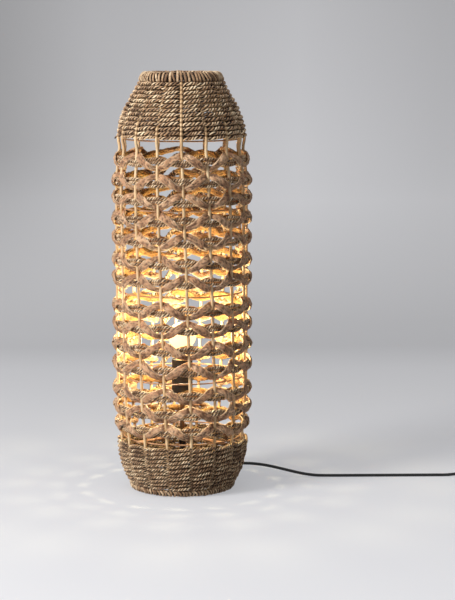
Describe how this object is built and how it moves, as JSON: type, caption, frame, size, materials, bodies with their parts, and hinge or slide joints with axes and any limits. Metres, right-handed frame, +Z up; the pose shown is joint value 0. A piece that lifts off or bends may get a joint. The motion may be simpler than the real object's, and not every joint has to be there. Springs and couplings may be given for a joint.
{
  "type": "floor lamp",
  "caption": "Tall cylindrical woven floor lamp: stakes with open waving strand rows, a closed tapered cap and basket, an inner bulb on a stem, and a floor lead with foot switch.",
  "frame": {"origin": "on the floor, on the woven shell's vertical axis", "axes": "+Z up along the shell; -Y is the pictured front; the lead leaves towards +X"},
  "size_m": [0.9407, 0.3004, 0.9],
  "materials": {
    "stake": "peeled rattan, satin",
    "hyacinth": "dried hyacinth strand, matt with a faint sheen",
    "seagrass": "twisted seagrass cord, matt",
    "wire": "powder coated beige",
    "stem_steel": "bronze paint, satin",
    "holder": "black phenolic, satin",
    "black_plastic": "black moulded, fine grain",
    "lead": "black sheath, satin",
    "nickel": "nickel plated",
    "bulb_glass": "opal, frosted"
  },
  "bodies": {
    "root": {"stake_01": "stake", "stake_02": "stake", "stake_03": "stake", "stake_04": "stake", "stake_05": "stake", "stake_06": "stake", "stake_07": "stake", "stake_08": "stake", "stake_09": "stake", "stake_10": "stake", "stake_11": "stake", "stake_12": "stake", "stake_13": "stake", "stake_14": "stake", "stake_15": "stake", "stake_16": "stake", "hyacinth_row_01": "hyacinth", "hyacinth_row_02": "hyacinth", "hyacinth_row_03": "hyacinth", "hyacinth_row_04": "hyacinth", "hyacinth_row_05": "hyacinth", "hyacinth_row_06": "hyacinth", "hyacinth_row_07": "hyacinth", "hyacinth_row_08": "hyacinth", "hyacinth_row_09": "hyacinth", "hyacinth_row_10": "hyacinth", "hyacinth_row_11": "hyacinth", "hyacinth_row_12": "hyacinth", "hyacinth_row_13": "hyacinth", "hyacinth_row_14": "hyacinth", "cord_winding": "seagrass", "cap_winding": "seagrass", "basket_winding": "seagrass", "top_rim": "seagrass", "bottom_rim": "seagrass", "hoop_top": "wire", "hoop_2": "wire", "hoop_3": "wire", "hoop_4": "wire", "bracket": "wire", "stem_tube": "stem_steel", "stem_nut_upper": "stem_steel", "stem_nut_lower": "stem_steel", "cord_bush": "black_plastic", "holder_base": "holder", "holder_shell": "holder", "holder_insert": "holder", "flex": "lead", "flex_coil": "lead", "switch_body": "black_plastic", "plug_body": "black_plastic", "plug_pin_left": "nickel", "plug_pin_right": "nickel"},
    "contact": {"bulb_contact": "nickel"},
    "bulb": {"bulb_cap": "nickel", "bulb_glass": "bulb_glass"},
    "button": {"switch_button": "black_plastic"}
  },
  "joints": [
    {"name": "bulb_rise", "type": "slide", "parent": "root", "child": "contact", "axis": [0, 0, 1], "range_m": [0, 0.0217]},
    {"name": "bulb_turn", "type": "hinge", "parent": "contact", "child": "bulb", "pos_m": [0, 0, 0.26], "axis": [0, 0, 1], "range_deg": [0, 2160]},
    {"name": "switch_press", "type": "slide", "parent": "root", "child": "button", "axis": [0, 0, -1], "range_m": [0, 0.0025], "stiffness_N_per_m": 400, "springref_m": -0.001}
  ],
  "couplings": [
    {"joint": "bulb_rise", "follows": "bulb_turn", "m_per_rad": 0.00057296}
  ]
}
